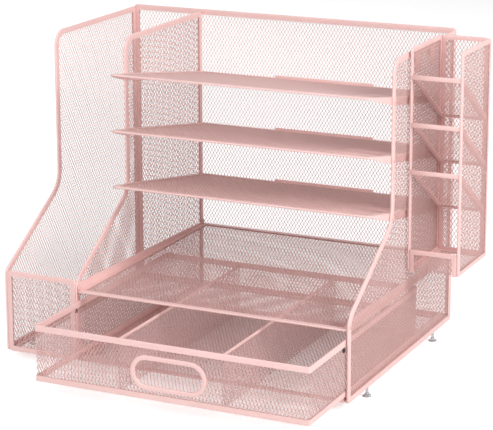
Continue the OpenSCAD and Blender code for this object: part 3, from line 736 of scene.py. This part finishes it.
place(frontLattice("drawer_front_lattice"), *inDrawer(0, half, 0), standAcross)
place(latticeSheet("drawer_back_lattice", drawerWide, drawer["high"], half),
      *inDrawer(0, drawer["deep"] - half, 0), standAcross)
sideLattice = latticeSheet("drawer_left_lattice", drawer["deep"], drawer["high"], half)
place(sideLattice, *inDrawer(half, 0, 0), standAlong)
shift(another(sideLattice, "drawer_right_lattice"), drawerWide - 2 * half, 0, 0)
place(latticeSheet("drawer_floor_lattice", drawerWide, drawer["deep"]),
      *inDrawer(0, 0, drawer["floorUp"] + lattice["thick"] / 2))
for name in ("front", "back", "left", "right", "floor"):
    latticePiece(bpy.data.objects["drawer_" + name + "_lattice"], "drawer",
                 "drawer_" + name + "_mesh")

# the ring is pressed from strip and its band is rounded like a bead
ringPiece = startPlane("finger_ring_bead", ring["wide"], ring["high"])
for x in (0, ring["wide"]):
    for y in (0, ring["high"]):
        roundCorner(ringPiece, x, y, ring["high"] / 2 - ring["bendShort"],
                    steps=ring["bendSteps"])
selectAll()
bpy.ops.mesh.remove_doubles(threshold=5 * ring["bendShort"])
selectAll()
bpy.ops.mesh.inset(thickness=ring["band"], use_even_offset=True)
bpy.ops.mesh.delete(type="FACE")
thicken(ring["thick"])
pick(ringPiece, "EDGE", lambda e: near(e.verts[0].co.z, e.verts[1].co.z)
     and any(isUpright(f) for f in e.link_faces))
bpy.ops.mesh.bevel(offset=ring["bead"], segments=ring["beadSteps"])
place(ringPiece, *inDrawer((drawerWide - ring["wide"]) / 2, half + ring["thick"] / 2,
                           ring["up"] - ring["high"] / 2), standAcross)
stripPiece(ringPiece, "drawer", "finger_ring")

# a divider's top edge is hemmed: one folded band with the sheet between its leaves
hem = {"high": 3, "thick": 1.6, "soft": 0.7, "leaf": 0.45, "slotDeep": 1.5}
dividerLong = drawer["deep"] - 2 * strip["thick"]
dividerHigh = drawer["high"] - drawer["dividerDrop"] - drawer["floorUp"]
divider = latticeSheet("left_divider_lattice", dividerLong, dividerHigh, drawer["sheetIn"])
place(divider, *inDrawer(drawer["sideCompartment"], strip["thick"], drawer["floorUp"]),
      standAlong)
hemPiece = startPlane("left_divider_hem", dividerLong, hem["thick"])
thicken(hem["high"])
pick(hemPiece, "EDGE", lambda e: all(near(v.co.z, hem["high"]) for v in e.verts)
     and not near(e.verts[0].co.x, e.verts[1].co.x))
bpy.ops.mesh.bevel(offset=hem["soft"], segments=bench["softSteps"])
pick(hemPiece, "FACE", facesDown)
bpy.ops.mesh.inset(thickness=hem["leaf"])
pull(0, 0, hem["slotDeep"])
place(hemPiece, *inDrawer(drawer["sideCompartment"] + hem["thick"] / 2, strip["thick"],
                          drawer["high"] - drawer["dividerDrop"] - hem["high"]),
      (0, 0, quarter))
apart = drawerWide - 2 * drawer["sideCompartment"]
shift(another(divider, "right_divider_lattice"), apart, 0, 0)
shift(another(hemPiece, "right_divider_hem"), apart, 0, 0)
for side in ("left", "right"):
    latticePiece(bpy.data.objects[side + "_divider_lattice"], "drawer", side + "_divider_mesh")
    stripPiece(bpy.data.objects[side + "_divider_hem"], "drawer", side + "_divider_edge")

# glide buttons: inside is the part within the drawer's wall, land the ring round the dimple
glide = {"wide": 5, "inside": 0.9, "proud": 0.4, "back": 88, "drop": 10, "land": 0.9,
         "soft": 0.35, "dimpleIn": 0.7, "dimpleDeep": 0.15, "corners": 32}


def glideButton(name, x, turn):
    # a low domed button, with a dimple where the mould's gate was
    piece = startDisc(name, glide["wide"] / 2, glide["corners"])
    high = glide["inside"] + glide["proud"]
    thicken(high)
    pick(piece, "FACE", facesUp)
    bpy.ops.mesh.inset(thickness=glide["land"])
    pick(piece, "EDGE", lambda e: all(near(v.co.z, high) for v in e.verts)
         and any(isUpright(f) for f in e.link_faces))
    bpy.ops.mesh.bevel(offset=glide["soft"], segments=bench["softSteps"])
    pick(piece, "FACE", lambda f: facesUp(f) and isDisc(f))
    bpy.ops.mesh.inset(thickness=glide["dimpleIn"])
    pull(0, 0, -glide["dimpleDeep"])
    place(piece, *inDrawer(x, glide["back"], drawer["high"] - glide["drop"]), turn)
    return piece


glides = joinInto(
    glideButton("drawer_glide_buttons", drawerWide - glide["inside"], (0, quarter, 0)),
    glideButton("left_glide", glide["inside"], (0, -quarter, 0)))
finishPiece(glides, "drawer", "drawer_glides", nylon)
print("drawer made")


# runners: channels of bent sheet, open below
runner = {"wide": 8, "inset": 3, "thick": 1}
channel = startPlane("drawer_runner_channels", runner["wide"], panel["deep"])
thicken(drawer["runnerHigh"])
pick(channel, "FACE", facesDown)
bpy.ops.mesh.inset(thickness=runner["thick"])
pull(0, 0, drawer["runnerHigh"] - runner["thick"])
roundEdges(channel, formed["bentSoft"], formed["bentSteps"])
runnerLeft = half + runner["inset"]
stripPiece(spread(channel, [(x, 0, bay["baseUp"] + strip["thick"]) for x in (
    runnerLeft, bay["wide"] - runnerLeft - runner["wide"])]), "cabinet", "drawer_runners")

# feet, drawn up from a round sole; steps are (how wide, how far up) for skirt and stem
foot = {"high": 9, "wide": 10, "disc": 1, "steps": ((6.2, 1.2), (4.2, 1.4), (3, 1.8), (3, 3.6)),
        "inset": 55, "hollowIn": 1.2, "hollowDeep": 0.5, "soft": 0.2, "softAngle": 25,
        "corners": 32}


def clearFoot(name):
    piece = startDisc(name, foot["wide"] / 2, foot["corners"])
    selectAll()
    pull(0, 0, foot["disc"])
    wide = foot["wide"]
    for nextWide, up in foot["steps"]:
        pull(0, 0, up)
        bpy.ops.transform.resize(value=(nextWide / wide, nextWide / wide, 1),
                                 center_override=(0, 0, 0))
        wide = nextWide
    pick(piece, "FACE", lambda f: near(f.calc_center_median().z, 0) and isDisc(f))
    bpy.ops.mesh.inset(thickness=foot["hollowIn"])
    pull(0, 0, foot["hollowDeep"])
    selectAll()
    bpy.ops.mesh.normals_make_consistent(inside=False)
    roundEdges(piece, foot["soft"], angle=foot["softAngle"])
    return piece


footSpots = [(x, y, -foot["high"]) for x in (-bay["fileWide"], 0, bay["wide"])
             for y in (foot["inset"], panel["deep"] - foot["inset"])]
finishPiece(spread(clearFoot("clear_feet"), footSpots), "cabinet", "feet", vinyl)
print("runners and feet made")


# screws that hold deck and shelves between the panels
screw = {"head": 4.6, "high": 1.0, "soft": 0.45, "recess": 2.4, "recessWide": 0.7,
         "recessDeep": 0.6, "deckUp": 5, "corners": 24}


def screwHead(name):
    # a low pan head with a cross recess
    piece = startDisc(name, screw["head"] / 2, screw["corners"])
    thicken(screw["high"])
    pick(piece, "EDGE", lambda e: all(near(v.co.z, screw["high"]) for v in e.verts))
    bpy.ops.mesh.bevel(offset=screw["soft"], segments=bench["softSteps"])
    bpy.ops.object.mode_set(mode="OBJECT")
    for turn in (0, quarter):
        bpy.ops.mesh.primitive_cube_add(size=1, location=(0, 0, screw["high"]),
                                        rotation=(0, 0, turn))
        cutter = bpy.context.active_object
        cutter.scale = (screw["recess"], screw["recessWide"], 2 * screw["recessDeep"])
        selectOnly(piece)
        bpy.ops.object.modifier_add(type="BOOLEAN")
        piece.modifiers[-1].object = cutter
        bpy.ops.object.modifier_apply(modifier=piece.modifiers[-1].name)
        bpy.data.objects.remove(cutter)
    return piece


def shelfTopAt(level, y):
    return level - (y - shelfFront) * math.tan(shelfTilt)


frontY, uprightY = strip["wide"] / 2, panel["slopeDeep"] + strip["wide"] / 2
backY = panel["deep"] - strip["wide"] / 2
flangeMiddle = (strip["thick"] + shelf["flangeHigh"] / 2) / math.cos(shelfTilt)
screwHeights = [(y, deck["up"] + screw["deckUp"]) for y in (frontY, backY)]
for number in range(len(shelf["names"])):
    level = shelf["top"] - number * shelf["pitch"]
    screwHeights += [(y, shelfTopAt(level, y) - flangeMiddle) for y in (uprightY, backY)]
screwSpots = [(x, y, z) for x in (half + deck["flangeThick"], bay["wide"] + half)
              for y, z in screwHeights]
finishPiece(spread(screwHead("panel_screw_heads"), screwSpots, (0, quarter, 0)), "cabinet",
            "panel_screws", screwCoat)
print("screws made")


# Pen holder. cutOff is what open strips are made too long by, and sheetMeet how far the front
# sheet and the floor sheet of the basket are moved to meet at the bend.
pen = {"shelves": ("lower_pen_shelf", "middle_pen_shelf", "upper_pen_shelf"), "wide": 59,
       "deep": 93, "high": 247, "back": 160, "above": 5, "gap": 1.8, "stripWide": 5,
       "lipDrop": 29, "pitch": 52, "fall": 62, "lipHigh": 5, "flangeHigh": 6,
       "flangeThick": 1.2, "basketHigh": 25, "openCorner": 1.5, "cutOff": 12, "sheetMeet": 0.3}
penStrip = {**strip, "wide": pen["stripWide"]}
penPlace = Vector((bay["wide"] + half + pen["gap"], pen["back"],
                   panel["high"] + pen["above"] - pen["high"]))
penInside = pen["wide"] - 2 * strip["thick"]


def inPen(x, y, z):
    return penPlace + Vector((x, y, z))


framePair("pen_inner", pen["deep"], pen["high"], penPlace, standAlong, penStrip)
copyPair("pen_inner", "pen_outer", pen["wide"] - strip["thick"], 0, 0)
framePair("pen_back", penInside, pen["high"], inPen(strip["thick"], pen["deep"], 0),
          standAcross, penStrip)
for name in ("pen_inner", "pen_outer", "pen_back"):
    finishPair(name, "pen_holder")


def openStrip(name, wide, high):
    # a strip on three sides: the fourth, at the bend of the sheet, is cut off
    piece = stripFrame(name, wide, high + pen["cutOff"],
                       {**penStrip, "corner": pen["openCorner"]})
    cut(0, pen["cutOff"], (0, -1), fill=True)
    selectAll()
    bpy.ops.transform.translate(value=(0, -pen["cutOff"], 0))
    return piece


basketFloor = pen["deep"] - strip["thick"]
place(openStrip("pen_basket_strip", penInside, pen["basketHigh"]),
      *inPen(strip["thick"], strip["thick"], 0), standAcross)
place(openStrip("pen_floor_strip", penInside, basketFloor - strip["thick"]),
      *inPen(strip["thick"], strip["thick"], 0))
front = latticeSheet("pen_basket_lattice", penInside, pen["basketHigh"])
place(front, *inPen(strip["thick"], half, -pen["sheetMeet"]), standAcross)
under = latticeSheet("pen_basket_under", penInside, basketFloor)
place(under, *inPen(strip["thick"], -pen["sheetMeet"], half))
stripPiece(bpy.data.objects["pen_basket_strip"], "pen_holder", "pen_basket_rim")
stripPiece(bpy.data.objects["pen_floor_strip"], "pen_holder", "pen_floor_rim")
latticePiece(joinInto(front, under), "pen_holder", "pen_basket_mesh")

# steep shelves, each with two flanges and a lip
penRun = pen["deep"] - strip["thick"]
penTilt = math.atan2(pen["fall"], penRun)
penShelfLong = (penRun - strip["thick"] * math.sin(penTilt)) / math.cos(penTilt)
penLean, penLeanAlong = leanBack(penTilt)
penShelfUp = pen["high"] - pen["lipDrop"] - 2 * pen["pitch"] - strip["thick"]
penShelfPlace = inPen(strip["thick"], 0, penShelfUp)
framePair("lower_pen_shelf", penInside, penShelfLong, penShelfPlace, penLean, penStrip)
flangeEnd = penShelfLong - pen["flangeHigh"] * math.tan(penTilt)
flanges = spread(
    plate("pen_shelf_flanges", flangeEnd - pen["stripWide"], pen["flangeHigh"],
          pen["flangeThick"]),
    [fromBench(penShelfPlace, penLean, x, pen["stripWide"], 0)
     for x in (0, penInside - pen["flangeThick"])], penLeanAlong)
lip = plate("pen_shelf_lip", penInside, pen["lipHigh"], pen["flangeThick"])
place(lip, *inPen(strip["thick"], pen["flangeThick"],
                  penShelfUp + strip["thick"] - pen["lipHigh"]), standAcross)
joinInto(bpy.data.objects["lower_pen_shelf_strip"], flanges, lip)
for number, name in enumerate(pen["shelves"]):
    if number:
        copyPair("lower_pen_shelf", name, 0, 0, number * pen["pitch"])
for name in pen["shelves"]:
    finishPair(name, "pen_holder")

# straps that hook the pen holder over the right panel's top strip
hook = {"wide": 12, "thick": 1.2, "drop": 14, "backLong": 24, "inset": 18, "gap": 0.2}


def hookStrap(name):
    # a flat bar bent twice
    piece = startPlane(name, hook["thick"], hook["wide"])
    thicken(hook["backLong"])
    pick(piece, "FACE", facesUp)
    pull(0, 0, hook["thick"])
    inside = hook["thick"] - (strip["thick"] + hook["gap"] + pen["gap"])
    pick(piece, "FACE", lambda f: f.normal.x < -0.9
         and f.calc_center_median().z > hook["backLong"])
    pull(inside, 0, 0)
    pull(-hook["thick"], 0, 0)
    pick(piece, "FACE", lambda f: facesDown(f) and f.calc_center_median().x < inside)
    pull(0, 0, -hook["drop"])
    roundEdges(piece, formed["bentSoft"], formed["bentSteps"])
    return piece


strapUp = panel["high"] + hook["gap"] - hook["backLong"]
straps = spread(hookStrap("pen_hook_straps"), [
    (penPlace.x - hook["thick"], y, strapUp)
    for y in (pen["back"] + hook["inset"],
              pen["back"] + pen["deep"] - hook["inset"] - hook["wide"])])
stripPiece(straps, "pen_holder", "pen_hooks")
print("pen holder made")


# The table. The camera sees it a little lighter, which makes it white and leaves the shadow
# soft.
table = {"size": 20, "colour": "#fdfdfd", "rough": 0.9, "lift": 0.47}
bpy.ops.object.select_all(action="DESELECT")
bpy.ops.mesh.primitive_plane_add(size=table["size"], location=(0, 0, 0))
floor = bpy.context.active_object
floor.name = "floor"
floorMaterial, floorTree, floorShader = newMaterial("paleTable")
floorShader.inputs["Base Color"].default_value = toLinear(table["colour"])
floorShader.inputs["Roughness"].default_value = table["rough"]
floorShader.inputs["Emission Color"].default_value = (1, 1, 1, 1)
floorRays = addNode(floorTree, "ShaderNodeLightPath")
lift = addNode(floorTree, "ShaderNodeMath", {1: table["lift"]},
               {0: floorRays.outputs["Is Camera Ray"]}, operation="MULTIPLY")
floorTree.links.new(lift.outputs["Value"], floorShader.inputs["Emission Strength"])
floor.data.materials.append(floorMaterial)

# lamps, all turned to one point over the middle of the ground that the organizer covers
lamps = {"key": {"place": (2.4, -0.5, 1.7), "size": 1.3, "watts": 60},
         "fill": {"place": (-0.25, -1.5, 0.95), "size": 1.0, "watts": 12},
         "back": {"place": (-1.8, 1.5, 1.2), "size": 1.4, "watts": 11}}
lampAim = Vector((0, 0, 0.15))
for name, lamp in lamps.items():
    bpy.ops.object.light_add(type="AREA", location=lamp["place"])
    light = bpy.context.active_object
    light.name = name
    light.data.size = lamp["size"]
    light.data.energy = lamp["watts"]
    light.rotation_euler = (lampAim - Vector(lamp["place"])).to_track_quat("-Z", "Y").to_euler()

# the white room: dim as a light on dull surfaces, full where it is seen, mirrored or seen
# through the clear feet
sky = {"light": 0.27, "seen": 1.0}
world = bpy.data.worlds.new("studio")
bpy.context.scene.world = world
world.use_nodes = True
skyTree = world.node_tree
background = skyTree.nodes["Background"]
background.inputs["Color"].default_value = (1, 1, 1, 1)
rays = addNode(skyTree, "ShaderNodeLightPath").outputs
reflected = addNode(skyTree, "ShaderNodeMath", links={
    0: rays["Is Glossy Ray"], 1: rays["Is Transmission Ray"]}, operation="MAXIMUM")
seen = addNode(skyTree, "ShaderNodeMath", links={
    0: rays["Is Camera Ray"], 1: reflected.outputs["Value"]}, operation="MAXIMUM")
skyTree.links.new(mapped(skyTree, seen.outputs["Value"], sky["light"], sky["seen"]),
                  background.inputs["Strength"])
bpy.context.scene.view_settings.view_transform = "Standard"
print("stage set")
